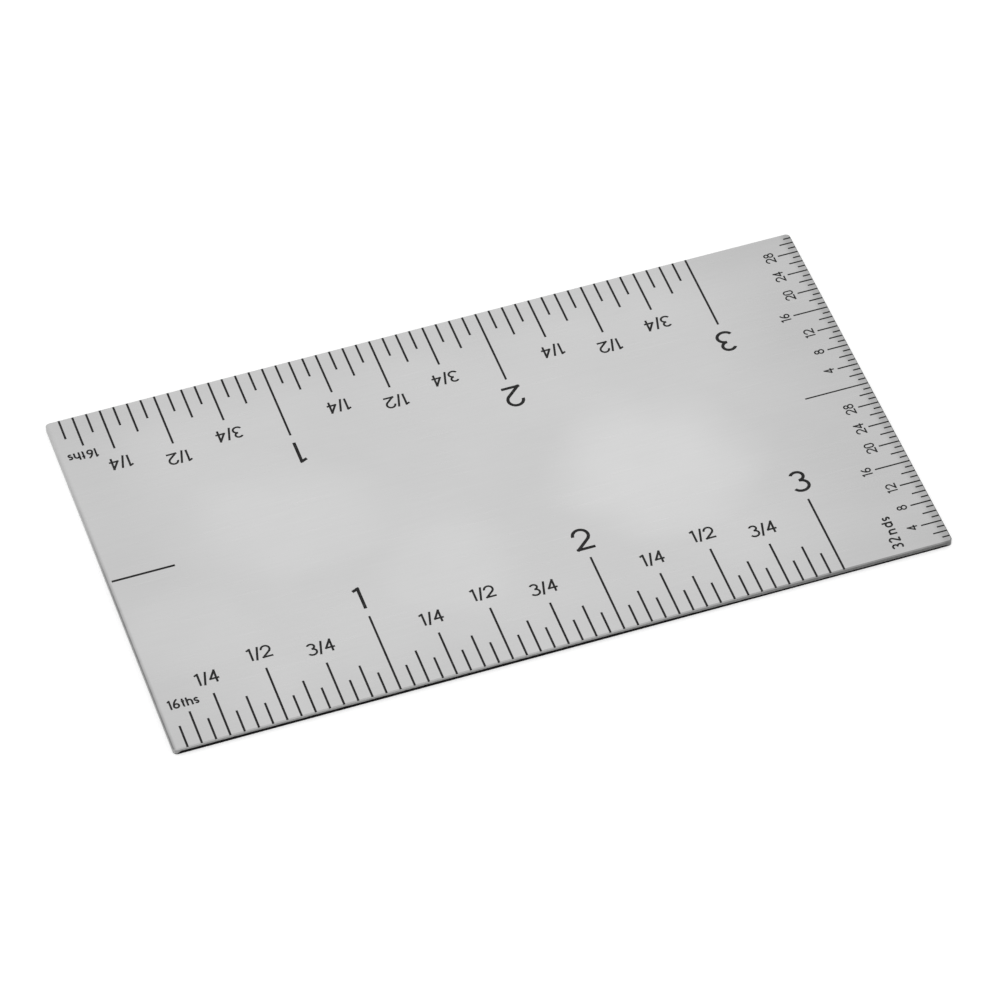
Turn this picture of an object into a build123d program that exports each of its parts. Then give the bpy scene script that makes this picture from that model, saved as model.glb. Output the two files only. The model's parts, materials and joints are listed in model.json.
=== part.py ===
"""Steel square: one flat ground plate with engraved inch graduations, in millimetres.

The plate lies on its underside. The origin is the middle of the underside, X runs along the
long edges from the zero end to the far end, Y runs across from the front edge to the back
edge, and Z is up. Both long edges carry sixteenths of an inch, counted from the zero end.
The far end carries thirty-seconds, counted afresh in each inch from the front corner, and
both ends carry a line at the middle of the width.
"""

import os
from math import acos, atan2, ceil, cos, degrees, hypot, radians, sin

from build123d import *

INCH = 25.4

# Plate
plate_length = 3.5 * INCH
plate_width = 2.0 * INCH
plate_thickness = 0.8
corner_radius = 0.5
edge_break = 0.12
under_edge_break = 0.04

# Every groove: its depth, the width of a long edge's line, of a far end's and of the zero
# end's, and how far a facet of a round stretch may fall inside the true curve
groove_depth = 0.08
line_stroke = 0.25
end_line_stroke = 0.2
zero_line_stroke = 0.29
facet_sag = 0.012

# Long edges: lengths of the lines, measured in from the edge
long_divisions = 16
inch_line = 11.1
half_line = 7.8
quarter_line = 6.3
eighth_line = 4.7
sixteenth_line = 3.1

# Far end: lengths of the lines, measured in from the end
end_divisions = 32
end_centre_line = 7.6
end_half_line = 4.2
end_eighth_line = 2.5
end_sixteenth_line = 1.7
end_finest_line = 0.95

# Zero end: its one line starts a little way in
zero_line_start = 0.5
zero_line_end = 7.7

# Inch figures, fractions and far-end figures: height, stroke, and gap beyond the line's end
inch_figure_height = 3.22
inch_figure_stroke = 0.38
inch_figure_gap = 1.18
fraction_height = 1.8
fraction_stroke = 0.25
fraction_gap = 1.4
end_figure_height = 1.22
end_figure_stroke = 0.18
end_figure_gap = 0.4

# Room that the far end's scale keeps clear of the long edges' scales
end_scale_room = 8.0

# Shapes of the figures, as shares of the height between their centre lines
FIGURE_SPACE = 0.05
FIGURE_WIDTH = {"0": 0.5, "1": 0.2, "2": 0.62, "3": 0.63, "4": 0.56, "6": 0.52, "8": 0.55, "/": 0.26}
ONE_FLAG = 0.17
ONE_FLAG_DROP = 0.07
UPPER_BOWL = 0.225
LOWER_BOWL = 0.275
BOWL_SWEEP = 245
FOUR_STEM = 0.42
FOUR_BAR = 0.3
SIX_TOP = 0.44
SLASH_DROP = 0.06

# A line this near a boundary, as a share of one division, counts as lying on it
SNAP = 0.01


def bar(start, end, stroke):
    """Straight groove between two points, with a square end half a stroke past each."""
    run = Vector(*end) - Vector(*start)
    middle = (Vector(*start) + Vector(*end)) / 2
    angle = degrees(atan2(run.Y, run.X))
    return Pos(middle.X, middle.Y) * Rot(0, 0, angle) * Rectangle(run.length + stroke, stroke)


def facet_count(radius, sweep):
    """Facets of a round stretch, as few as the sag allows."""
    return ceil(sweep / degrees(2 * acos(1 - facet_sag / radius)))


def bow(centre, radius, start_angle, sweep, stroke, half_width=None):
    """Round groove about a centre, from a start angle through a sweep in degrees.

    A half width that differs from the radius makes it an oval.
    """
    across = half_width or radius
    facets = facet_count(max(radius, across) + stroke / 2, sweep)
    turns = [radians(start_angle + sweep * step / facets) for step in range(facets + 1)]
    rims = [
        [((across + side) * cos(turn), (radius + side) * sin(turn)) for turn in turns]
        for side in (stroke / 2, -stroke / 2)
    ]
    return Pos(*centre) * make_face(Polyline(*rims[0], *reversed(rims[1]), close=True))


def ring(centre, radius, stroke):
    """Closed round groove about a centre."""
    outer_radius = radius + stroke / 2
    facets = facet_count(outer_radius, 360)
    wall = RegularPolygon(outer_radius, facets) - RegularPolygon(radius - stroke / 2, facets)
    return Pos(*centre) * wall


def one(height, stroke):
    """Stem in the middle of its width, with a short flag and no foot."""
    stem = height * FIGURE_WIDTH["1"] / 2
    flag_tip = (stem - height * ONE_FLAG, height * (1 - ONE_FLAG_DROP))
    return [bar((stem, 0), (stem, height), stroke), bar(flag_tip, (stem, height), stroke)]


def two(height, stroke):
    """Round head that runs tangent into a slanting neck, on a flat foot."""
    width = height * FIGURE_WIDTH["2"]
    radius = width / 2
    centre = (radius, height - radius)
    towards_foot = degrees(atan2(-centre[1], -centre[0]))
    to_tangent = degrees(acos(radius / hypot(*centre)))
    leave_angle = towards_foot + to_tangent
    head = bow(centre, radius, leave_angle, 180 - leave_angle, stroke)
    leave = radians(leave_angle)
    neck_top = (centre[0] + radius * cos(leave), centre[1] + radius * sin(leave))
    neck = bar((0, 0), neck_top, stroke)
    return [head, neck, bar((0, 0), (width, 0), stroke)]


def three(height, stroke):
    """A smaller oval bowl over a larger one, both open to the left."""
    upper = height * UPPER_BOWL
    lower = height * LOWER_BOWL
    middle = height * FIGURE_WIDTH["3"] / 2
    top_half = middle * UPPER_BOWL / LOWER_BOWL
    top = bow((middle, height - upper), upper, -90, BOWL_SWEEP, stroke, top_half)
    bottom = bow((middle, lower), lower, 90 - BOWL_SWEEP, BOWL_SWEEP, stroke, middle)
    return [top, bottom]


def four(height, stroke):
    """Slant, crossbar and full-height stem."""
    stem = height * FOUR_STEM
    level = height * FOUR_BAR
    slant = bar((0, level), (stem, height), stroke)
    crossbar = bar((0, level), (height * FIGURE_WIDTH["4"], level), stroke)
    return [slant, crossbar, bar((stem, 0), (stem, height), stroke)]


def six(height, stroke):
    """Ring with a back that rises from its left side and leans to the right."""
    radius = height * FIGURE_WIDTH["6"] / 2
    rise = height - radius
    lean = height * SIX_TOP
    back_radius = (lean * lean + rise * rise) / (2 * lean)
    top_angle = degrees(atan2(rise, lean - back_radius))
    back = bow((back_radius, radius), back_radius, top_angle, 180 - top_angle, stroke)
    return [ring((radius, radius), radius, stroke), back]


def eight(height, stroke):
    """A smaller ring on a larger one."""
    upper = height * UPPER_BOWL
    lower = height * LOWER_BOWL
    return [ring((lower, height - upper), upper, stroke), ring((lower, lower), lower, stroke)]


def nought(height, stroke):
    """Two half rings joined by straight sides."""
    width = height * FIGURE_WIDTH["0"]
    radius = width / 2
    top = bow((radius, height - radius), radius, 0, 180, stroke)
    bottom = bow((radius, radius), radius, 180, 180, stroke)
    sides = [bar((side, radius), (side, height - radius), stroke) for side in (0, width)]
    return [top, bottom, *sides]


def slash(height, stroke):
    """Slanting line of a fraction, which drops a little below the figures."""
    return [bar((0, -height * SLASH_DROP), (height * FIGURE_WIDTH["/"], height), stroke)]


FIGURES = {
    "0": nought, "1": one, "2": two, "3": three, "4": four, "6": six, "8": eight, "/": slash,
}


def label(text, x, y, full_height, stroke):
    """Figures of a label, centred on x and standing on y. The height includes the stroke."""
    height = full_height - stroke
    space = stroke + height * FIGURE_SPACE
    width = sum(height * FIGURE_WIDTH[sign] for sign in text) + space * (len(text) - 1)
    left = x - width / 2
    faces = []
    for sign in text:
        strokes = FIGURES[sign](height, stroke)
        figure = strokes[0]
        for more in strokes[1:]:
            figure += more
        faces.append(Pos(left, y + stroke / 2) * figure)
        left += height * FIGURE_WIDTH[sign] + space
    return faces


def line_at(x, start, end, stroke):
    """Graduation line across the edge at x, from one distance in to another."""
    return Pos(x, (start + end) / 2) * Rectangle(stroke, end - start)


def edge_line(x, length, stroke):
    """Graduation line that runs out through the edge."""
    return line_at(x, -stroke, length, stroke)


def long_edge_scale(direction):
    """Sixteenths with Y into the plate, counted along X in the direction 1 or -1."""
    whole_inches = int((plate_length - end_scale_room) // INCH)
    faces = []
    for count in range(1, whole_inches * long_divisions + 1):
        x = direction * count * INCH / long_divisions
        part = count % long_divisions * 16 // long_divisions
        if part == 0:
            faces.append(edge_line(x, inch_line, line_stroke))
            base = inch_line + inch_figure_gap
            text = str(count // long_divisions)
            faces += label(text, x, base, inch_figure_height, inch_figure_stroke)
        elif part % 4 == 0:
            length = half_line if part == 8 else quarter_line
            text = "1/2" if part == 8 else f"{part // 4}/4"
            faces.append(edge_line(x, length, line_stroke))
            faces += label(text, x, length + fraction_gap, fraction_height, fraction_stroke)
        else:
            length = eighth_line if part % 2 == 0 else sixteenth_line
            faces.append(edge_line(x, length, line_stroke))
    return faces


def far_end_scale():
    """Thirty-seconds with Y into the plate, counted along X afresh in each inch."""
    pitch = INCH / end_divisions
    faces = []
    for count in range(1, ceil(plate_width / pitch - SNAP)):
        x = count * pitch
        part = count % end_divisions
        if abs(x - plate_width / 2) < pitch / 2 or part == 0:
            continue
        if part % 4 == 0:
            length = end_half_line if part == 16 else end_eighth_line
            base = length + end_figure_gap
            faces.append(edge_line(x, length, end_line_stroke))
            faces += label(str(part), x, base, end_figure_height, end_figure_stroke)
        else:
            length = end_sixteenth_line if part % 2 == 0 else end_finest_line
            faces.append(edge_line(x, length, end_line_stroke))
    faces.append(edge_line(plate_width / 2, end_centre_line, end_line_stroke))
    return faces


def blank_plate():
    """Plate with rounded corners and its outer edges broken, more above than underneath."""
    outline = RectangleRounded(plate_length, plate_width, corner_radius)
    plate = extrude(outline, plate_thickness)
    plate = chamfer(plate.edges().group_by(Axis.Z)[-1], min(edge_break, plate_thickness / 3))
    return chamfer(plate.edges().group_by(Axis.Z)[0], min(under_edge_break, plate_thickness / 3))


def engraved_plate():
    """Plate with all its lines and figures cut to one depth."""
    floor = plate_thickness - groove_depth
    front_zero = Pos(-plate_length / 2, -plate_width / 2, floor)
    back_zero = Pos(-plate_length / 2, plate_width / 2, floor) * Rot(0, 0, 180)
    far_corner = Pos(plate_length / 2, -plate_width / 2, floor) * Rot(0, 0, 90)
    zero_corner = Pos(-plate_length / 2, plate_width / 2, floor) * Rot(0, 0, -90)
    marks = [front_zero * face for face in long_edge_scale(1)]
    marks += [back_zero * face for face in long_edge_scale(-1)]
    marks += [far_corner * face for face in far_end_scale()]
    zero_line = line_at(plate_width / 2, zero_line_start, zero_line_end, zero_line_stroke)
    marks.append(zero_corner * zero_line)
    grooves = [extrude(mark, 2 * groove_depth, dir=(0, 0, 1)) for mark in marks]
    return blank_plate() - grooves


os.makedirs("parts", exist_ok=True)
export_step(engraved_plate(), "parts/square_plate.step")
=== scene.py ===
"""Looks of the steel rule plate: satin ground steel, black filled scales, unit words and a soft studio."""

import sys
import json
import logging
import math
from collections.abc import Callable, Iterator
from contextlib import contextmanager
from dataclasses import dataclass, field
from enum import Enum

import bmesh
import bpy
from mathutils import Matrix, Vector

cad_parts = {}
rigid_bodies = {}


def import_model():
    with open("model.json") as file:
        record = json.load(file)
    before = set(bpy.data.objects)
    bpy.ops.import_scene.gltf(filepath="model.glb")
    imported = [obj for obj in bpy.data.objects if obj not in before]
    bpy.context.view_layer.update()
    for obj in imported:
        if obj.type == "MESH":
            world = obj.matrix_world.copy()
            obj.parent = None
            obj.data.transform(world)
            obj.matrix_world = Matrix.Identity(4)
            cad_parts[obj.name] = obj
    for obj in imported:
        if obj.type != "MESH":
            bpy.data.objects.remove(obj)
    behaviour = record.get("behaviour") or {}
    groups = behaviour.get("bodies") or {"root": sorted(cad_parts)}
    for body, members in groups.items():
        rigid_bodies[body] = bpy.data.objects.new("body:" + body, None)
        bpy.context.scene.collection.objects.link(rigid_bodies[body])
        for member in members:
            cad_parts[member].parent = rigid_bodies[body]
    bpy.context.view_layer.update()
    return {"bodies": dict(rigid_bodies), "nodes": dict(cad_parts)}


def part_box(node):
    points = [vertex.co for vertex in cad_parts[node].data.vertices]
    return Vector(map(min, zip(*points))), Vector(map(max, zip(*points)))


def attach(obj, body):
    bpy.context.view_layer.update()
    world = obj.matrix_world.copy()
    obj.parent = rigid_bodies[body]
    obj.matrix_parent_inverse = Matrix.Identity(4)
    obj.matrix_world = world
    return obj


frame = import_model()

MM = 0.001
BODY = "root"
NODE = "square_plate"

# The Mix node's two colour sockets, which share their names with its other kinds of value
MIX_DARK = 6
MIX_LIGHT = 7

# Headings and turns of the pen, in degrees
RIGHT = 0.0
UP = 90.0
DOWN = 270.0
QUARTER_TURN = 90.0
HALF_TURN = 180.0
FULL_TURN = 360.0

Triple = tuple[float, float, float]
Span = tuple[float, float]

log = logging.getLogger("rule_plate")


# Shader maths


class Signal:
    """An output socket on which Python's operators add Math nodes."""

    def __init__(self, graph: "Graph", socket: bpy.types.NodeSocket) -> None:
        """Wraps one output socket of a graph.

        Args:
            graph: The graph that the socket's node belongs to.
            socket: The output socket.
        """
        self.graph = graph
        self.socket = socket

    def also(self, output: str) -> "Signal":
        """Gives another output of the same node."""
        return Signal(self.graph, self.socket.node.outputs[output])

    def math(self, operation: str, *others: "Signal | float") -> "Signal":
        """Adds a Math node with this signal as its first value.

        Args:
            operation: The Math node's operation.
            others: The node's second and third value, where it has them.

        Returns:
            The node's result.
        """
        values = {0: self, **dict(enumerate(others, start=1))}
        return self.graph.add("ShaderNodeMath", {"operation": operation}, values)

    def __add__(self, other: "Signal | float") -> "Signal":
        """Sum of two values."""
        return self.math("ADD", other)

    def __radd__(self, other: float) -> "Signal":
        """Sum with a number on the left."""
        return self.math("ADD", other)

    def __sub__(self, other: "Signal | float") -> "Signal":
        """Difference of two values."""
        return self.math("SUBTRACT", other)

    def __rsub__(self, other: float) -> "Signal":
        """A number less this value."""
        return self * -1.0 + other

    def __mul__(self, other: "Signal | float") -> "Signal":
        """Product of two values."""
        return self.math("MULTIPLY", other)

    def __rmul__(self, other: float) -> "Signal":
        """Product with a number on the left."""
        return self.math("MULTIPLY", other)

    def __abs__(self) -> "Signal":
        """Size of the value without its sign."""
        return self.math("ABSOLUTE")

    def ramp(self, low: float, high: float) -> "Signal":
        """Rises smoothly from 0 at low to 1 at high, or falls where high is less than low.

        Args:
            low: The value at which the result is 0.
            high: The value at which the result is 1.

        Returns:
            The smooth step.
        """
        falls = high < low
        ends = (high, low) if falls else (low, high)
        step = self.graph.add(
            "ShaderNodeMapRange",
            {"interpolation_type": "SMOOTHSTEP"},
            {"Value": self, "From Min": ends[0], "From Max": ends[1]},
        )
        return 1.0 - step if falls else step

    def between(self, start: "Signal | float", end: "Signal | float") -> "Signal":
        """Goes from one value to another as this signal goes from 0 to 1.

        Args:
            start: The value where this signal is 0.
            end: The value where it is 1.

        Returns:
            The value between them.
        """
        return self * (end - start) + start


Point = tuple[Signal, Signal, Signal]


@dataclass(frozen=True)
class Pattern:
    """A noise: its cells along X, Y and Z in millimetres, its finer layers, and how far it is shifted."""

    cell: Triple
    detail: float
    shift: float = 0.0


class Graph:
    """The node tree of one material or of the world, built from an empty tree."""

    def __init__(self, owner: bpy.types.Material | bpy.types.World) -> None:
        """Clears the owner's tree.

        Args:
            owner: The material or world that the tree belongs to.
        """
        owner.use_nodes = True
        self.tree = owner.node_tree
        self.tree.nodes.clear()

    def add(self, kind: str, settings: dict | None = None, sockets: dict | None = None) -> Signal:
        """Adds a node, sets it up and joins its inputs.

        Args:
            kind: The node's type.
            settings: Its own properties, set before its sockets.
            sockets: Values or signals by the socket's name or number.

        Returns:
            The node's first enabled output, or its first input where it has no output.
        """
        node = self.tree.nodes.new(kind)
        for name, value in (settings or {}).items():
            setattr(node, name, value)
        for key, value in (sockets or {}).items():
            if isinstance(value, Signal):
                self.tree.links.new(value.socket, node.inputs[key])
            else:
                node.inputs[key].default_value = value
        outputs = [socket for socket in node.outputs if socket.enabled]
        return Signal(self, outputs[0] if outputs else node.inputs[0])

    def position(self) -> Point:
        """Gives the point's place on the piece in millimetres, as three numbers."""
        place = self.add("ShaderNodeTexCoord").also("Object")
        parts = self.add("ShaderNodeSeparateXYZ", None, {0: place})
        return tuple(parts.also(axis) * (1.0 / MM) for axis in "XYZ")

    def normal(self) -> Point:
        """Gives the surface's own normal, as three numbers."""
        normal = self.add("ShaderNodeNewGeometry").also("Normal")
        parts = self.add("ShaderNodeSeparateXYZ", None, {0: normal})
        return tuple(parts.also(axis) for axis in "XYZ")

    def noise(self, point: Point, pattern: Pattern) -> Signal:
        """Adds a noise, from 0 to 1 and about 0.5 on average.

        Args:
            point: The place in millimetres.
            pattern: The noise's cells and layers.

        Returns:
            The noise.
        """
        scaled = {
            number: axis * (1.0 / size) + pattern.shift
            for number, (axis, size) in enumerate(zip(point, pattern.cell))
        }
        place = self.add("ShaderNodeCombineXYZ", None, scaled)
        return self.add(
            "ShaderNodeTexNoise",
            {"noise_dimensions": "3D"},
            {"Vector": place, "Scale": 1.0, "Detail": pattern.detail},
        )

    def sway(self, point: Point, pattern: Pattern, depth: float = 1.0) -> Signal:
        """Adds a noise that swings about 0.

        Args:
            point: The place in millimetres.
            pattern: The noise's cells and layers.
            depth: The swing from its lowest to its highest.

        Returns:
            The noise, less its average.
        """
        return (self.noise(point, pattern) - 0.5) * depth

    def grey(self, amount: Signal, dark: float = 0.0, light: float = 1.0) -> Signal:
        """Mixes two greys into a colour.

        Args:
            amount: The share of the light grey.
            dark: The grey where amount is 0.
            light: The grey where amount is 1.

        Returns:
            The mixed colour.
        """
        ends = {MIX_DARK: (dark, dark, dark, 1.0), MIX_LIGHT: (light, light, light, 1.0)}
        return self.add("ShaderNodeMix", {"data_type": "RGBA"}, {0: amount, **ends})

    def bump(self, height: Signal, strength: float, relief: float) -> Signal:
        """Turns a height into a bumped normal.

        Args:
            height: The height, as a multiple of the relief.
            strength: How much of the bump shows, up to 1.
            relief: The depth in millimetres that a height of 1 stands for.

        Returns:
            The normal.
        """
        sockets = {"Strength": strength, "Distance": relief * MM, "Height": height}
        return self.add("ShaderNodeBump", None, sockets)

    def surface(self, sockets: dict) -> None:
        """Ends a material in one Principled shader.

        Args:
            sockets: The shader's values and signals by name.
        """
        shader = self.add("ShaderNodeBsdfPrincipled", None, sockets)
        self.add("ShaderNodeOutputMaterial", None, {"Surface": shader})


# Finishes


@dataclass(frozen=True)
class ReflectionSpot:
    """A soft oval on the face painted a little brighter, as a painted reflection. Lengths are in
    millimetres.
    """

    x: float
    y: float
    half_length: float
    half_width: float
    gain: float


@dataclass(frozen=True)
class Fade:
    """A loss near an end or edge, which grows between two distances in from it, in millimetres."""

    start: float
    full: float
    depth: float

    def at(self, inset: Signal) -> Signal:
        """Works out the loss at a distance in from the end or edge."""
        return inset.ramp(self.start, self.full) * self.depth


@dataclass(frozen=True)
class SatinSteel:
    """Ground and lapped sheet steel, with broken corners and sheared sides, and with painted reflections,
    painted shade and a painted contact shadow in its tone.

    Tones are linear reflectances and lengths are in millimetres. A span says where a smooth step
    is 0 and where it is 1.
    """

    half_length: float
    half_width: float

    # The face: its tone, soft clouds, painted reflections, and the painted shade it takes on towards its
    # ends and edges
    face_tone: float = 0.605
    clouds: Pattern = Pattern((12.0, 12.0, 12.0), 2.0, 3.7)
    cloud_depth: float = 0.05
    reflection_spots: tuple[ReflectionSpot, ...] = (
        ReflectionSpot(17.5, -2.5, 11.0, 10.5, 0.068),
        ReflectionSpot(-23.0, 3.5, 9.5, 9.0, 0.04),
        ReflectionSpot(-8.5, -10.0, 8.0, 6.0, 0.032),
        ReflectionSpot(-39.0, -10.0, 7.0, 6.0, 0.025),
    )
    spot_cell: Triple = (12.0, 8.0, 8.0)
    spot_unevenness: float = 1.3
    spot_span: Span = (1.6, -0.2)
    # Painted shade: the face turns darker towards its far end, its zero end and its long edges
    far_fade: Fade = Fade(22.0, 1.0, 0.065)
    zero_fade: Fade = Fade(14.0, 2.0, 0.035)
    edge_fade: Fade = Fade(7.0, 1.0, 0.022)

    # The darker rims of both ends, the zero end's weaker at the back, over a span in half widths
    far_rim: Fade = Fade(1.5, 0.5, 0.11)
    zero_rim: Fade = Fade(0.5, 0.05, 0.2)
    zero_rim_back: float = 0.2
    zero_rim_span: Span = (1.0, -0.2)
    rim_mottle: Pattern = Pattern((1.5, 1.5, 1.5), 2.0, 6.4)

    # The grain and the hairlines that run with it
    grain: Pattern = Pattern((5.0, 0.07, 0.07), 3.0)
    grain_depth: float = 0.05
    hairline: Pattern = Pattern((9.0, 0.06, 0.06), 1.0, 11.9)
    hairline_span: Span = (0.68, 0.78)
    hairline_depth: float = 0.05

    # The broken upper edge, painted darker than the face as shade and darker still towards the far end,
    # with its wear. It and the ends' sides turn lighter at the back, as painted light, over a span in half
    # widths
    edge_tone: float = 0.44
    edge_tone_far: float = 0.27
    edge_gain_back: float = 0.12
    back_span: Span = (-0.1, 0.35)
    wear: Pattern = Pattern((1.8, 1.8, 1.8), 4.0, 9.6)
    wear_depth: float = 0.14

    # The sides where the shear cut them smooth. The long ones darken towards the far end as a painted dark
    # reflection, and the ends lighten towards the back as painted light
    side_tone: float = 0.37
    side_tone_far: float = 0.2
    side_fall_start: float = -10.0
    end_tone: float = 0.46
    end_tone_back: float = 0.6
    drag: Pattern = Pattern((0.09, 0.09, 1.6), 2.0, 5.1)
    drag_depth: float = 0.12

    # The long sides' painted shadow band, a painted contact shadow and dark reflection on their lower
    # part: how high it reaches, its ragged top, and its speckles
    shadow_top: float = 0.43
    shadow_top_far: float = 0.29
    shadow_fall_start: float = -2.0
    shadow_fall_inset: float = 12.0
    shadow_corner: Fade = Fade(0.9, 0.3, 0.3)
    ragged: Pattern = Pattern((1.1, 1.1, 5.0), 2.0, 8.3)
    ragged_depth: float = 0.12
    fringe: Pattern = Pattern((0.16, 0.16, 0.5), 3.0, 2.2)
    fringe_depth: float = 0.08
    tear_blur: float = 0.012
    shadow_tone: float = 0.005
    shadow_speckle: Pattern = Pattern((0.09, 0.09, 0.13), 3.0, 7.7)
    shadow_speckle_span: Span = (0.46, 0.74)
    shadow_speckle_depth: float = 0.035

    # Which part a point lies on, by the distance in from the outline and by shares of the normal
    rim_span: Span = (0.4, 0.3)
    tilted_span: Span = (0.95, 0.85)
    upright_span: Span = (0.5, 0.3)
    under_span: Span = (-0.3, -0.5)
    long_side_span: Span = (0.55, 0.75)
    end_side_span: Span = (0.45, 0.75)

    # Roughness of each part and what its marks add
    face_roughness: float = 0.34
    grain_roughness: float = 0.16
    hairline_roughness: float = -0.08
    edge_roughness: float = 0.46
    wear_roughness: float = 0.2
    side_roughness: float = 0.55
    shadow_roughness: float = 0.15

    # Relief of the marks
    drag_relief: float = 3.0
    shadow_speckle_relief: float = 6.0
    bump_strength: float = 0.6
    relief: float = 0.0012

    def towards_back(self, y: Signal) -> Signal:
        """Rises from 0 on the front half of the width to 1 on the back half."""
        low, high = self.back_span
        return y.ramp(low * self.half_width, high * self.half_width)

    def face(self, graph: Graph, point: Point) -> Signal:
        """Works out the tone of the ground faces, without their grain, with their painted reflections and
        painted shade.

        Args:
            graph: The material's nodes.
            point: The place in millimetres.

        Returns:
            The tone.
        """
        x, y, _ = point
        tone = self.face_tone + graph.sway(point, self.clouds, self.cloud_depth)
        # Soft ovals painted brighter, as painted reflections
        for spot in self.reflection_spots:
            along = (x - spot.x) * (1.0 / spot.half_length)
            across = (y - spot.y) * (1.0 / spot.half_width)
            uneven = graph.sway(point, Pattern(self.spot_cell, 0.0, spot.x), self.spot_unevenness)
            reach = along * along + across * across + uneven
            tone = tone + reach.ramp(*self.spot_span) * spot.gain
        # Painted shade towards the ends and the long edges
        tone = tone - self.far_fade.at(self.half_length - x)
        tone = tone - self.zero_fade.at(x + self.half_length)
        return tone - self.edge_fade.at(self.half_width - abs(y))

    def rims(self, graph: Graph, point: Point) -> Signal:
        """Works out how much darker the face turns at its ends, next to their broken edges.

        Args:
            graph: The material's nodes.
            point: The place in millimetres.

        Returns:
            What the tone loses.
        """
        x, y, _ = point
        back, front = self.zero_rim_span
        share = y.ramp(back * self.half_width, front * self.half_width).between(self.zero_rim_back, 1.0)
        rim_loss = self.far_rim.at(self.half_length - x) + self.zero_rim.at(x + self.half_length) * share
        return rim_loss * (graph.noise(point, self.rim_mottle) + 0.5)

    def shadow_band(self, graph: Graph, point: Point, normal: Point) -> Signal:
        """Marks the lower part of the long sides, where a contact shadow and a dark reflection are
        painted.

        Args:
            graph: The material's nodes.
            point: The place in millimetres.
            normal: The surface's normal.

        Returns:
            1 in the painted shadow band and 0 above it.
        """
        x, _, z = point
        fall = x.ramp(self.shadow_fall_start, self.half_length - self.shadow_fall_inset)
        top = fall.between(self.shadow_top, self.shadow_top_far)
        top = top - self.shadow_corner.at(self.half_length - abs(x))
        top = top + graph.sway(point, self.ragged, self.ragged_depth)
        top = top + graph.sway(point, self.fringe, self.fringe_depth)
        on_long_side = abs(normal[1]).ramp(*self.long_side_span)
        return (z - top).ramp(self.tear_blur, -self.tear_blur) * on_long_side

    def side(self, point: Point, normal: Point, shadow_band: Signal, drag: Signal, shadow_speckle: Signal) -> Signal:
        """Works out the tone of the sheared sides, smooth above, with a painted contact shadow and dark
        reflection below.

        Args:
            point: The place in millimetres.
            normal: The surface's normal.
            shadow_band: Where the painted contact shadow and dark reflection lie.
            drag: The fine upright lines that the shear left, about 0 on average.
            shadow_speckle: The speckles of the painted shadow band, from 0 to 1.

        Returns:
            The tone.
        """
        x, y, _ = point
        # Painted dark reflection on the long sides, deeper towards the far end, and painted light on the
        # ends towards the back
        fall = x.ramp(self.side_fall_start, self.half_length)
        long_side = fall.between(self.side_tone, self.side_tone_far)
        end = self.towards_back(y).between(self.end_tone, self.end_tone_back)
        on_end = abs(normal[0]).ramp(*self.end_side_span)
        smooth = on_end.between(long_side, end) + drag * self.drag_depth
        # Below, the painted contact shadow and dark reflection with its speckles
        return shadow_band.between(smooth, self.shadow_tone + shadow_speckle * self.shadow_speckle_depth)

    def parts(self, point: Point, normal: Point) -> tuple[Signal, Signal]:
        """Marks the broken upper edge, and the sides with the edge break underneath.

        The walls of the grooves look the same way but lie further in, and count as neither.

        Args:
            point: The place in millimetres.
            normal: The surface's normal.

        Returns:
            1 on the broken upper edge, and 1 on the sides.
        """
        x, y, _ = point
        inset = (self.half_length - abs(x)).math("MINIMUM", self.half_width - abs(y))
        at_rim = inset.ramp(*self.rim_span)
        level = abs(normal[2])
        tilted = level.ramp(*self.tilted_span)
        under = normal[2].ramp(*self.under_span) * tilted
        side = level.ramp(*self.upright_span).math("MAXIMUM", under) * at_rim
        return tilted * at_rim * (1.0 - side), side

    def material(self) -> bpy.types.Material:
        """Builds the steel's material."""
        made = bpy.data.materials.new("satin_ground_steel")
        graph = Graph(made)
        point = graph.position()
        normal = graph.normal()
        x, y, _ = point
        edge, side = self.parts(point, normal)
        # Painted contact shadow and dark reflection along the lower part of the long sides
        shadow_band = self.shadow_band(graph, point, normal)
        grain = graph.sway(point, self.grain)
        hairline = graph.noise(point, self.hairline).ramp(*self.hairline_span)
        wear = graph.sway(point, self.wear)
        drag = graph.sway(point, self.drag)
        shadow_speckle = graph.noise(point, self.shadow_speckle).ramp(*self.shadow_speckle_span)

        face = self.face(graph, point) + grain * self.grain_depth + hairline * self.hairline_depth
        # Painted shade on the broken edge, deeper towards the far end, with painted light towards the back
        # and its wear on top
        broken = x.ramp(0.0, self.half_length).between(self.edge_tone, self.edge_tone_far)
        broken = broken + self.towards_back(y) * self.edge_gain_back + wear * self.wear_depth
        tone = edge.between(face, broken) - self.rims(graph, point)
        tone = side.between(tone, self.side(point, normal, shadow_band, drag, shadow_speckle))

        rough = self.face_roughness + grain * self.grain_roughness + hairline * self.hairline_roughness
        rough = edge.between(rough, self.edge_roughness + wear * self.wear_roughness)
        rough = side.between(rough, self.side_roughness + shadow_band * self.shadow_roughness)

        height = drag * self.drag_relief + shadow_band * shadow_speckle * self.shadow_speckle_relief
        height = side.between(grain - hairline, height)
        graph.surface({
            "Base Color": graph.grey(tone),
            "Metallic": 1.0,
            "Roughness": rough,
            "Normal": graph.bump(height, self.bump_strength, self.relief),
        })
        return made


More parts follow.
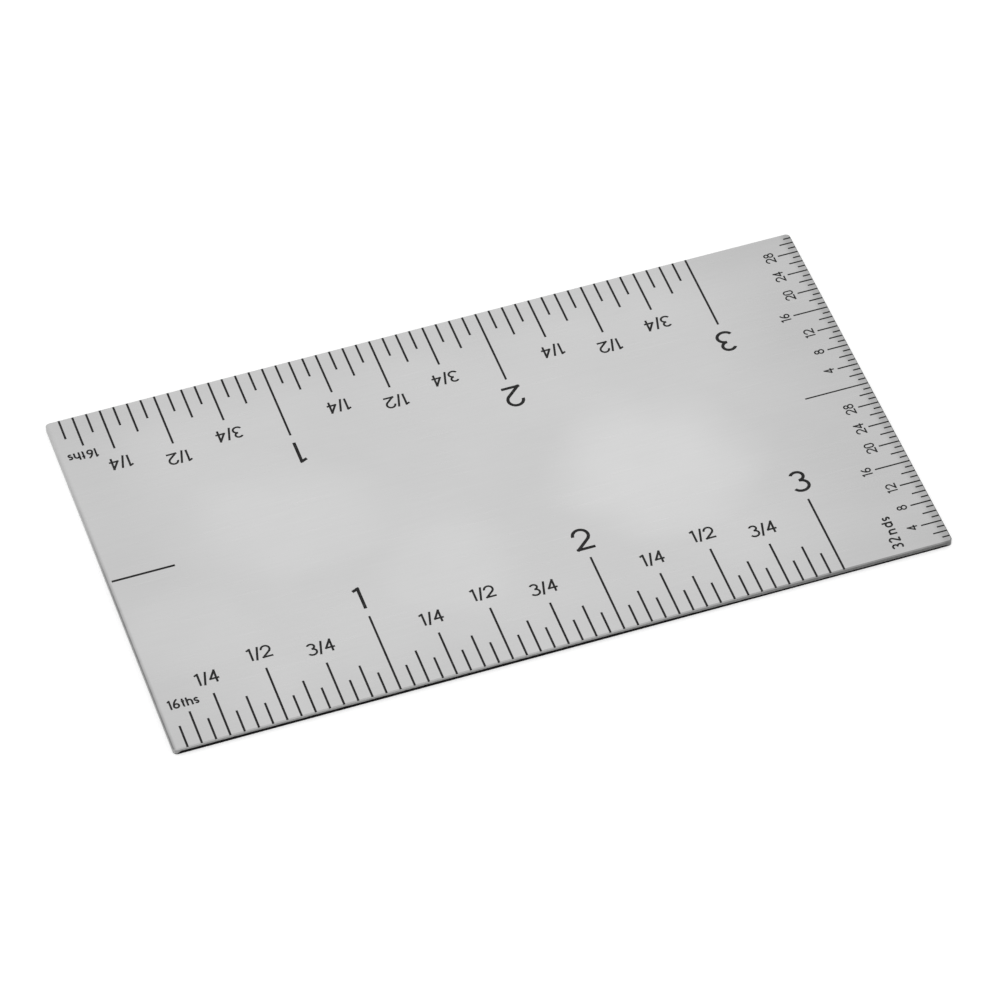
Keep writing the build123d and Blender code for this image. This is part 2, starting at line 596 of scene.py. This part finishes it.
@dataclass(frozen=True)
class BlackFill:
    """Matt black paint, wiped into the cut lines, a little thin in places."""

    deep: float = 0.006
    thin: float = 0.025
    roughness: float = 0.55
    patch: Pattern = Pattern((0.35, 0.35, 0.35), 3.0, 1.3)
    patch_span: Span = (0.45, 0.75)
    patch_roughness: float = 0.3
    tooth: Pattern = Pattern((0.03, 0.03, 0.03), 2.0)
    bump_strength: float = 0.5
    relief: float = 0.002
    shine: float = 0.2

    def material(self) -> bpy.types.Material:
        """Builds the paint's material."""
        made = bpy.data.materials.new("matt_black_paint")
        graph = Graph(made)
        point = graph.position()
        patch = graph.noise(point, self.patch)
        tooth = graph.noise(point, self.tooth)
        graph.surface({
            "Base Color": graph.grey(patch.ramp(*self.patch_span), self.deep, self.thin),
            "Roughness": self.roughness + (patch - 0.5) * self.patch_roughness,
            "Specular IOR Level": self.shine,
            "Normal": graph.bump(tooth, self.bump_strength, self.relief),
        })
        return made


# Modelling help


def select(*pieces: bpy.types.Object) -> None:
    """Selects some pieces and nothing else, with the first of them active."""
    bpy.ops.object.select_all(action="DESELECT")
    for piece in pieces:
        piece.select_set(True)
    bpy.context.view_layer.objects.active = pieces[0]


@contextmanager
def editing(piece: bpy.types.Object) -> Iterator[None]:
    """Opens edit mode on one piece alone, with all of it selected, and leaves it at the end.

    Args:
        piece: The mesh object to shape.
    """
    select(piece)
    bpy.ops.object.mode_set(mode="EDIT")
    bpy.ops.mesh.select_all(action="SELECT")
    yield
    bpy.ops.object.mode_set(mode="OBJECT")


def pick_faces(piece: bpy.types.Object, wanted: Callable[[bmesh.types.BMFace], bool]) -> None:
    """Selects in edit mode the faces that pass a test, and nothing else.

    Args:
        piece: The mesh object in edit mode.
        wanted: The test, by the face's place or normal.
    """
    bpy.ops.mesh.select_mode(type="FACE")
    bpy.ops.mesh.select_all(action="DESELECT")
    shape = bmesh.from_edit_mesh(piece.data)
    for face in shape.faces:
        if wanted(face):
            face.select_set(True)
    bmesh.update_edit_mesh(piece.data)


def pick_corners(piece: bpy.types.Object, wanted: Callable[[bmesh.types.BMVert], bool]) -> int:
    """Selects in edit mode the vertices that pass a test, and nothing else.

    Args:
        piece: The mesh object in edit mode.
        wanted: The test, by the vertex's place or edges.

    Returns:
        How many vertices are selected.
    """
    bpy.ops.mesh.select_mode(type="VERT")
    bpy.ops.mesh.select_all(action="DESELECT")
    shape = bmesh.from_edit_mesh(piece.data)
    chosen = [vert for vert in shape.verts if wanted(vert)]
    for vert in chosen:
        vert.select_set(True)
    shape.select_flush(True)
    bmesh.update_edit_mesh(piece.data)
    return len(chosen)


def new_piece(name: str, mesh: bpy.types.Mesh | None = None) -> bpy.types.Object:
    """Adds a mesh object at the origin.

    Args:
        name: The object's name.
        mesh: Its mesh, or None for an empty one.

    Returns:
        The new object.
    """
    piece = bpy.data.objects.new(name, mesh or bpy.data.meshes.new(name))
    bpy.context.scene.collection.objects.link(piece)
    return piece


def apply_modifier(piece: bpy.types.Object, kind: str, settings: dict) -> None:
    """Adds one modifier to a piece and applies it.

    Args:
        piece: The mesh object.
        kind: The modifier's type.
        settings: Its properties by name.
    """
    select(piece)
    modifier = piece.modifiers.new(kind.lower(), kind)
    for name, value in settings.items():
        setattr(modifier, name, value)
    bpy.ops.object.modifier_apply(modifier=modifier.name)


def dress(piece: bpy.types.Object, material: bpy.types.Material) -> None:
    """Gives the whole piece one material."""
    piece.data.materials.clear()
    piece.data.materials.append(material)


def hand_over(piece: bpy.types.Object) -> None:
    """Lets a finished piece ride on the plate and logs its face count.

    Args:
        piece: The finished piece.
    """
    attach(piece, BODY)
    log.info("%s: %d faces", piece.name, len(piece.data.polygons))


# The plate


@dataclass
class RulePlate:
    """The one steel blank, which stays as it was cut and only gets its finish."""

    node: bpy.types.Object
    corner: Vector = field(init=False)

    def __post_init__(self) -> None:
        """Notes the plate's highest corner, in millimetres."""
        self.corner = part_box(self.node.name)[1] / MM

    def finish(self) -> None:
        """Dresses the blank in satin ground steel."""
        dress(self.node, SatinSteel(half_length=self.corner.x, half_width=self.corner.y).material())
        log.info("%s: %d faces", self.node.name, len(self.node.data.polygons))


class Scale(Enum):
    """The scales of the plate, each with its own run of paint."""

    FRONT_EDGE = "front_edge_scale_paint"
    BACK_EDGE = "back_edge_scale_paint"
    FAR_END = "far_end_scale_paint"
    ZERO_END = "zero_end_line_paint"


@dataclass
class GroovePaint:
    """The black paint that lies in the cut lines and figures.

    Lengths are in millimetres. The plate's groove depth and edge break are those of its CAD.
    """

    plate: RulePlate
    groove_depth: float = 0.08
    edge_break: float = 0.12
    below_face: float = 0.012
    bed: float = 0.002

    # Where the scales of the two ends lie
    end_scale_room: float = 8.6
    zero_line_room: float = 1.0

    # What still counts as a flat floor at its level, as one vertex, as one plane and as one cut
    least_upright: float = 0.9
    level_slack: float = 0.01
    weld: float = 0.0001
    plane_degrees: float = 1.0
    cut_slack: float = 0.00002

    def scale_at(self, x: float, y: float) -> Scale:
        """Tells which scale a place belongs to.

        Args:
            x: The place along the plate.
            y: The place across it.

        Returns:
            The scale there.
        """
        end = self.plate.corner.x
        if x > end - self.end_scale_room:
            return Scale.FAR_END
        if x < self.end_scale_room - end and abs(y) < self.zero_line_room:
            return Scale.ZERO_END
        return Scale.FRONT_EDGE if y < 0.0 else Scale.BACK_EDGE

    def floors(self, scale: Scale) -> bpy.types.Object:
        """Copies the plate's mesh and keeps only one scale's groove floors.

        Args:
            scale: The scale to keep.

        Returns:
            The flat floors, as a piece of its own.
        """
        level = self.plate.corner.z - self.groove_depth
        piece = new_piece(scale.value, self.plate.node.data.copy())

        def is_floor(face: bmesh.types.BMFace) -> bool:
            """Whether a face is a groove's floor on this scale."""
            place = face.calc_center_median() / MM
            flat = face.normal.z > self.least_upright and abs(place.z - level) < self.level_slack
            return flat and self.scale_at(place.x, place.y) is scale

        with editing(piece):
            bpy.ops.mesh.remove_doubles(threshold=self.weld * MM)
            pick_faces(piece, lambda face: not is_floor(face))
            bpy.ops.mesh.delete(type="FACE")
            bpy.ops.mesh.select_all(action="SELECT")
            # The copy still carries the blank's own normals
            bpy.ops.mesh.customdata_custom_splitnormals_clear()
            bpy.ops.mesh.dissolve_limited(angle_limit=math.radians(self.plane_degrees))
        return piece

    def trim(self, piece: bpy.types.Object) -> None:
        """Cuts the paint off just inside the broken edges of the plate, and closes the cuts.

        Args:
            piece: The paint, as deep as it lies.
        """
        top = self.plate.corner
        slopes = (Vector((0, -1, 1)), Vector((0, 1, 1)), Vector((1, 0, 1)), Vector((-1, 0, 1)))
        for slope in slopes:
            rim = Vector((slope.x * top.x, slope.y * top.y, top.z - self.edge_break)) * MM
            with editing(piece):
                bpy.ops.mesh.bisect(
                    plane_co=rim - slope * self.bed * MM,
                    plane_no=slope,
                    clear_outer=True,
                    threshold=self.cut_slack * MM,
                )
                bpy.ops.mesh.select_all(action="SELECT")
                bpy.ops.mesh.fill_holes(sides=0)

    def build(self) -> None:
        """Models the paint of every scale and dresses it."""
        paint = BlackFill().material()
        lift = self.groove_depth - self.below_face
        for scale in Scale:
            piece = self.floors(scale)
            with editing(piece):
                bpy.ops.transform.translate(value=(0, 0, lift * MM))
            apply_modifier(piece, "SOLIDIFY", {"thickness": (lift - self.bed) * MM, "offset": -1.0})
            self.trim(piece)
            dress(piece, paint)
            hand_over(piece)


# The words


@dataclass(frozen=True)
class Run:
    """A straight pull of the pen, in millimetres."""

    length: float


@dataclass(frozen=True)
class Bend:
    """A round pull of the pen: its radius in millimetres, and its turn to the left in degrees."""

    radius: float
    turn: float


@dataclass(frozen=True)
class Stroke:
    """One pull of the pen without a lift, from a start point and heading, in millimetres and degrees."""

    start: tuple[float, float]
    heading: float
    moves: tuple[Run | Bend, ...]


Strokes = tuple[Stroke, ...]


def circle_stroke(centre: tuple[float, float], angle: float, *moves: Run | Bend) -> Stroke:
    """Starts a stroke on the circle of its first bend.

    Args:
        centre: The circle's middle.
        angle: Where on the circle the stroke starts, in degrees.
        moves: The pen's moves, of which the first is a bend.

    Returns:
        The stroke.
    """
    bend = moves[0]
    turned = math.radians(angle)
    start = (centre[0] + bend.radius * math.cos(turned), centre[1] + bend.radius * math.sin(turned))
    return Stroke(start, angle + math.copysign(QUARTER_TURN, bend.turn), moves)


@dataclass(frozen=True)
class Alphabet:
    """The letters and figures that the unit words need, each from one or two strokes.

    Lengths are in millimetres. A stroke's line is the middle of the paint. A letter starts at its
    left end on the base line, and strokes that meet side by side lap a little.
    """

    line: float = 0.22
    figure: float = 1.36
    tall: float = 1.2
    small: float = 0.92
    tall_arch: float = 0.26
    small_arch: float = 0.28
    lap: float = 0.01
    round_step: float = 15.0
    end_round: float = 0.06
    end_facets: int = 3

    @property
    def low(self) -> float:
        """The height of a stroke that lies on the base line."""
        return self.line / 2

    @property
    def high(self) -> float:
        """The height of a figure's top stroke."""
        return self.figure - self.low

    @property
    def top(self) -> float:
        """The height of a small letter's top stroke."""
        return self.small - self.low

    def one(self) -> Strokes:
        """A stem with a short flag."""
        stem = 0.26
        flag_heading = 215.0
        flag = Run(0.28)
        return (
            Stroke((stem, 0.0), UP, (Run(self.figure),)),
            Stroke((stem, self.high), flag_heading, (flag,)),
        )

    def two(self) -> Strokes:
        """A round head with a straight neck, over a flat foot."""
        head = Bend(0.27, -198.0)
        centre = (0.33, self.high - head.radius)
        head_start = 165.0
        neck = Run(0.93)
        foot_start = 0.03
        foot = Run(0.6)
        return (
            circle_stroke(centre, head_start, head, neck),
            Stroke((foot_start, self.low), RIGHT, (foot,)),
        )

    def three(self) -> Strokes:
        """A round bowl over a larger one."""
        upper = Bend(0.28, -240.0)
        lower = Bend((self.high - self.low) / 2 - upper.radius, -235.0)
        centre = (0.3, self.high - upper.radius)
        upper_start = 150.0
        waist = (0.25, self.high - 2 * upper.radius)
        waist_line = Run(0.05)
        return (
            circle_stroke(centre, upper_start, upper),
            Stroke(waist, RIGHT, (waist_line, lower)),
        )

    def six(self) -> Strokes:
        """A ring with a long round back."""
        ring = Bend(0.28, FULL_TURN)
        back = Bend(1.1, -58.0)
        middle = self.low + ring.radius
        return (
            Stroke((self.low + 2 * ring.radius, middle), UP, (ring,)),
            Stroke((self.low + self.lap, middle - 2 * self.lap), UP, (back,)),
        )

    def tee(self) -> Strokes:
        """A stem that hooks to the right, with a crossbar."""
        stem = 0.16
        hook = Bend(0.14, 80.0)
        hook_height = 0.2
        crossbar = Run(0.36)
        return (
            Stroke((stem, self.tall), DOWN, (Run(self.tall - hook_height), hook)),
            Stroke((0.0, self.top), RIGHT, (crossbar,)),
        )

    def arched(self, stem: float, radius: float) -> Strokes:
        """A stem with an arch to its right.

        Args:
            stem: The stem's height.
            radius: The arch's radius.

        Returns:
            The strokes.
        """
        spring = self.top - radius
        return (
            Stroke((self.low, 0.0), UP, (Run(stem),)),
            Stroke((self.low + self.lap, spring), UP, (Bend(radius, -HALF_TURN), Run(spring))),
        )

    def dee(self) -> Strokes:
        """A tall stem with a bowl to its left."""
        bowl = Bend(0.3, HALF_TURN)
        stem = self.low + 2 * bowl.radius
        straight = Run(self.top - self.low - 2 * bowl.radius)
        return (
            Stroke((stem, 0.0), UP, (Run(self.tall),)),
            Stroke((stem - self.lap, self.top - bowl.radius), UP, (bowl, straight, bowl)),
        )

    def ess(self) -> Strokes:
        """Two bowls in one pull, open to either side."""
        upper = Bend(0.19, 245.0)
        lower = Bend((self.top - self.low) / 2 - upper.radius, -upper.turn)
        centre = (0.22, self.top - upper.radius)
        upper_start = 25.0
        return (circle_stroke(centre, upper_start, upper, lower),)

    def strokes(self, sign: str) -> Strokes:
        """Gives the strokes of one letter or figure.

        Args:
            sign: The letter or figure.

        Returns:
            Its strokes.
        """
        signs = {
            "1": self.one(),
            "2": self.two(),
            "3": self.three(),
            "6": self.six(),
            "t": self.tee(),
            "h": self.arched(self.tall, self.tall_arch),
            "n": self.arched(self.small, self.small_arch),
            "d": self.dee(),
            "s": self.ess(),
        }
        return signs[sign]


def direction(heading: float) -> Vector:
    """Gives the unit vector of a heading in degrees."""
    return Vector((math.cos(math.radians(heading)), math.sin(math.radians(heading)), 0.0))


@dataclass
class Pen:
    """A square nib that pulls one flat ribbon. It works in millimetres, before the word is scaled."""

    alphabet: Alphabet
    weld: float = 0.00022

    def pull(self, stroke: Stroke, start: Vector) -> None:
        """Pulls the nib along one stroke, in edit mode.

        Args:
            stroke: The stroke.
            start: Where it starts on the word.
        """
        place = start.copy()
        heading = stroke.heading
        for move in stroke.moves:
            if isinstance(move, Run):
                step = direction(heading) * move.length
                bpy.ops.mesh.extrude_region_move(TRANSFORM_OT_translate={"value": step})
                place += step
                continue
            side = math.copysign(QUARTER_TURN, move.turn)
            centre = place + direction(heading + side) * move.radius
            bpy.ops.mesh.spin(
                steps=round(abs(move.turn) / self.alphabet.round_step),
                angle=-math.radians(move.turn),
                center=centre,
                axis=(0, 0, 1),
            )
            heading += move.turn
            place = centre - direction(heading + side) * move.radius

    def draw(self, stroke: Stroke, along: float, film: float) -> bpy.types.Object:
        """Draws one stroke as a thin solid with rounded ends.

        Args:
            stroke: The stroke.
            along: How far its letter starts along the word.
            film: The paint's thickness.

        Returns:
            The stroke's own piece.
        """
        width = self.alphabet.line
        ahead = direction(stroke.heading)
        start = Vector((stroke.start[0] + along, stroke.start[1], 0.0))
        piece = new_piece("stroke")
        with editing(piece):
            # The nib is the front edge of a square that lies behind the start
            bpy.ops.mesh.primitive_plane_add(
                size=width,
                location=start - ahead * width / 2,
                rotation=(0, 0, math.radians(stroke.heading)),
            )
            pick_corners(piece, lambda vert: (vert.co - start).dot(ahead) < -width / 2)
            bpy.ops.mesh.delete(type="VERT")
            bpy.ops.mesh.select_all(action="SELECT")
            self.pull(stroke, start)
            bpy.ops.mesh.select_all(action="SELECT")
            bpy.ops.mesh.remove_doubles(threshold=self.weld)
            if pick_corners(piece, lambda vert: len(vert.link_faces) == 1):
                bpy.ops.mesh.bevel(
                    affect="VERTICES",
                    offset=self.alphabet.end_round,
                    segments=self.alphabet.end_facets,
                )
            pick_faces(piece, lambda face: face.normal.z < 0.0)
            bpy.ops.mesh.flip_normals()
        apply_modifier(piece, "SOLIDIFY", {"thickness": film, "offset": 1.0})
        return piece


@dataclass
class UnitWord:
    """A unit's name in thin black paint on the face. Lengths are in millimetres."""

    name: str
    word: str
    starts: tuple[float, ...]
    film: float = 0.006
    speck: float = 2.2e-6

    def letter(self, sign: str, along: float) -> bpy.types.Object:
        """Draws one letter or figure and unites its strokes.

        Args:
            sign: The letter or figure.
            along: How far it starts along the word.

        Returns:
            The letter, as one closed solid.
        """
        alphabet = Alphabet()
        pen = Pen(alphabet)
        first, *others = [pen.draw(stroke, along, self.film) for stroke in alphabet.strokes(sign)]
        for other in others:
            apply_modifier(first, "BOOLEAN", {"operation": "UNION", "object": other, "solver": "EXACT"})
            bpy.data.objects.remove(other)
        with editing(first):
            bpy.ops.mesh.dissolve_degenerate(threshold=self.speck)
        return first

    def build(self) -> bpy.types.Object:
        """Draws the word flat and joins its letters.

        Returns:
            The word, with the start of its base line at the origin.
        """
        letters = [self.letter(sign, along) for sign, along in zip(self.word, self.starts)]
        select(*letters)
        bpy.ops.object.join()
        whole = letters[0]
        whole.name = whole.data.name = self.name
        return whole


class Reading(Enum):
    """The side from which a word is read, as its turn on the plate in degrees."""

    FROM_FRONT = 0.0
    FROM_FAR_END = 90.0
    FROM_BACK = 180.0


def lay_word(piece: bpy.types.Object, at: Vector, reading: Reading) -> None:
    """Scales a drawn word to metres and lays it on the plate.

    Args:
        piece: The drawn word.
        at: The start of its base line, in millimetres.
        reading: The side from which it is read.
    """
    piece.scale = (MM, MM, MM)
    piece.rotation_euler = (0.0, 0.0, math.radians(reading.value))
    piece.location = at * MM
    select(piece)
    bpy.ops.object.transform_apply(location=True, rotation=True, scale=True)


@dataclass
class UnitWords:
    """The three words that name the scales' divisions, by millimetres in from the plate's edges."""

    plate: RulePlate
    sixteenths_from_zero: float = 1.2
    sixteenths_from_edge: float = 5.5
    back_word_from_zero: float = 4.45
    thirty_seconds_from_front: float = 0.9
    thirty_seconds_from_end: float = 5.3

    def build(self) -> None:
        """Draws the words, copies the one that repeats, lays them on the face and dresses them."""
        top = self.plate.corner
        front = UnitWord("front_sixteenths_word", "16ths", (0.0, 0.5, 1.5, 2.0, 2.92)).build()
        back = new_piece("back_sixteenths_word", front.data.copy())
        end = UnitWord("far_end_thirty_seconds_word", "32nds", (0.0, 0.98, 2.1, 3.2, 4.3)).build()

        front_start = (self.sixteenths_from_zero - top.x, self.sixteenths_from_edge - top.y, top.z)
        back_start = (self.back_word_from_zero - top.x, top.y - self.sixteenths_from_edge, top.z)
        end_start = (top.x - self.thirty_seconds_from_end, self.thirty_seconds_from_front - top.y, top.z)
        lay_word(front, Vector(front_start), Reading.FROM_FRONT)
        lay_word(back, Vector(back_start), Reading.FROM_BACK)
        lay_word(end, Vector(end_start), Reading.FROM_FAR_END)

        paint = BlackFill().material()
        for piece in (front, back, end):
            dress(piece, paint)
            hand_over(piece)


# The studio


@dataclass(frozen=True)
class SoftBox:
    """A square studio lamp: where it hangs and how wide it is in metres, and its power in watts."""

    name: str
    place: Triple
    width: float
    power: float


@dataclass
class Studio:
    """A plain pale floor, soft lamps and a pale surround. Lengths are in metres."""

    floor_radius: float = 3.0
    floor_sides: int = 96
    floor_gap: float = 0.02 * MM
    floor_tone: float = 0.9
    floor_lift: float = 0.26
    surround_light: float = 0.84
    lamps: tuple[SoftBox, ...] = (
        SoftBox("key_softbox", (-0.75, -0.55, 0.95), 0.7, 2.2),
        SoftBox("side_softbox", (0.95, -0.25, 0.7), 0.6, 1.3),
    )

    def floor(self) -> None:
        """Lays a round floor that shows white to the camera and keeps the plate's shadow."""
        bpy.ops.object.select_all(action="DESELECT")
        bpy.ops.mesh.primitive_circle_add(
            vertices=self.floor_sides,
            radius=self.floor_radius,
            fill_type="NGON",
            location=(0, 0, -self.floor_gap),
        )
        floor = bpy.context.object
        floor.name = "floor"
        made = bpy.data.materials.new("pale_floor")
        graph = Graph(made)
        tone = self.floor_tone
        seen = graph.add("ShaderNodeLightPath")
        paper = graph.add("ShaderNodeBsdfDiffuse", None, {"Color": (tone, tone, tone, 1.0)})
        white = graph.add("ShaderNodeEmission", None, {"Strength": seen * self.floor_lift})
        both = graph.add("ShaderNodeAddShader", None, {0: paper, 1: white})
        graph.add("ShaderNodeOutputMaterial", None, {"Surface": both})
        dress(floor, made)

    def surround(self) -> None:
        """Makes the surround white to the camera and in reflections, and a soft light otherwise."""
        world = bpy.data.worlds.new("pale_surround")
        bpy.context.scene.world = world
        graph = Graph(world)
        camera = graph.add("ShaderNodeLightPath")
        seen = camera + camera.also("Is Glossy Ray") + camera.also("Is Transmission Ray")
        strength = seen.math("MINIMUM", 1.0).between(self.surround_light, 1.0)
        light = graph.add("ShaderNodeBackground", None, {"Color": (1, 1, 1, 1), "Strength": strength})
        graph.add("ShaderNodeOutputWorld", None, {"Surface": light})

    def hang_lamps(self) -> None:
        """Hangs the soft boxes, turned towards the plate."""
        for box in self.lamps:
            data = bpy.data.lights.new(box.name, "AREA")
            data.shape = "SQUARE"
            data.size = box.width
            data.energy = box.power
            lamp = bpy.data.objects.new(box.name, data)
            lamp.location = box.place
            lamp.rotation_euler = (-Vector(box.place)).to_track_quat("-Z", "Y").to_euler()
            bpy.context.scene.collection.objects.link(lamp)

    def build(self) -> None:
        """Sets up the whole studio."""
        self.floor()
        self.surround()
        self.hang_lamps()
        bpy.context.scene.view_settings.view_transform = "Standard"


@dataclass
class PhotoCamera:
    """The camera, where the photograph was taken from.

    Its place, aim, lens and sensor are in millimetres, its roll in degrees and its clips in metres.
    """

    place: Triple = (-126.996, -407.357, 460.040)
    aim: Triple = (-0.224, -2.920, 0.8)
    roll: float = -1.8189
    lens: float = 204.046
    sensor: float = 36.0
    clip_near: float = 0.01
    clip_far: float = 20.0

    def build(self) -> None:
        """Sets up the camera and makes it the scene's own."""
        data = bpy.data.cameras.new("photo_camera")
        data.lens = self.lens
        data.sensor_width = self.sensor
        data.clip_start = self.clip_near
        data.clip_end = self.clip_far
        camera = bpy.data.objects.new("photo_camera", data)
        sight = (Vector(self.aim) - Vector(self.place)) * MM
        level = sight.to_track_quat("-Z", "Y").to_matrix()
        camera.location = Vector(self.place) * MM
        camera.rotation_euler = (level @ Matrix.Rotation(math.radians(self.roll), 3, "Z")).to_euler()
        bpy.context.scene.collection.objects.link(camera)
        bpy.context.scene.camera = camera


def clear_start_objects() -> None:
    """Removes what an empty Blender file starts with, and keeps the frame."""
    kept = {*frame["nodes"].values(), *frame["bodies"].values()}
    for thing in [thing for thing in bpy.data.objects if thing not in kept]:
        bpy.data.objects.remove(thing)


def main() -> None:
    """Builds the dressed plate and its studio in order."""
    logging.basicConfig(level=logging.INFO, format="%(message)s", stream=sys.stdout)
    clear_start_objects()
    plate = RulePlate(frame["nodes"][NODE])
    plate.finish()
    GroovePaint(plate).build()
    UnitWords(plate).build()
    Studio().build()
    PhotoCamera().build()


if __name__ == "__main__":
    main()
